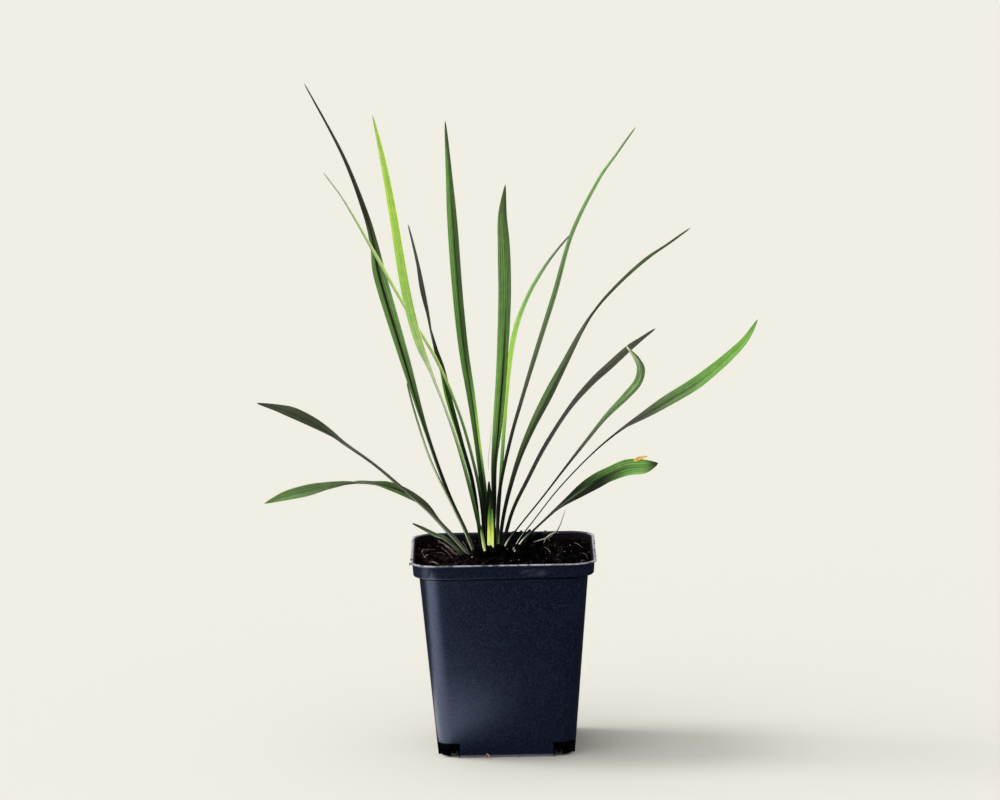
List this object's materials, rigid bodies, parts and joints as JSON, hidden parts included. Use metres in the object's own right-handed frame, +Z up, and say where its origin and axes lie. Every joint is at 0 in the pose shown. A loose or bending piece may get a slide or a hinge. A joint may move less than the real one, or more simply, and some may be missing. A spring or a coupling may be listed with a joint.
{
  "type": "potted ingwersen liriope",
  "caption": "Young lilyturf tuft: narrow grass-like strap leaves, some arching, twisted or curled, in a tapered square nursery pot filled with dark potting soil.",
  "frame": {"origin": "on the surface that the pot stands on, under the middle of the pot", "axes": "+Z up along the pot's axis, -Y towards the front of the plant, +X to the viewer's right"},
  "size_m": [0.2431, 0.1388, 0.3247],
  "materials": {
    "navy_plastic": "satin",
    "potting_soil": "matte",
    "green_leaf": "satin",
    "lime_leaf": "satin",
    "pale_crown": "satin",
    "dry_straw": "matte"
  },
  "bodies": {
    "root": {"pot": "navy_plastic", "soil": "potting_soil", "crown": "pale_crown", "dry_stalk": "dry_straw", "leaf_tall_left": "green_leaf", "leaf_thin_left": "green_leaf", "leaf_lime": "lime_leaf", "leaf_dark_left": "green_leaf", "leaf_middle_back": "green_leaf", "leaf_middle_front": "green_leaf", "leaf_bright_right": "lime_leaf", "leaf_tall_right": "green_leaf", "leaf_twisted_right": "green_leaf", "leaf_middle_right": "green_leaf", "leaf_curled": "green_leaf", "leaf_far_right": "green_leaf", "leaf_broad_right": "green_leaf", "leaf_arching_left": "green_leaf", "leaf_low_left": "green_leaf", "leaf_hair_left": "green_leaf", "leaf_short_left": "green_leaf"}
  },
  "joints": []
}
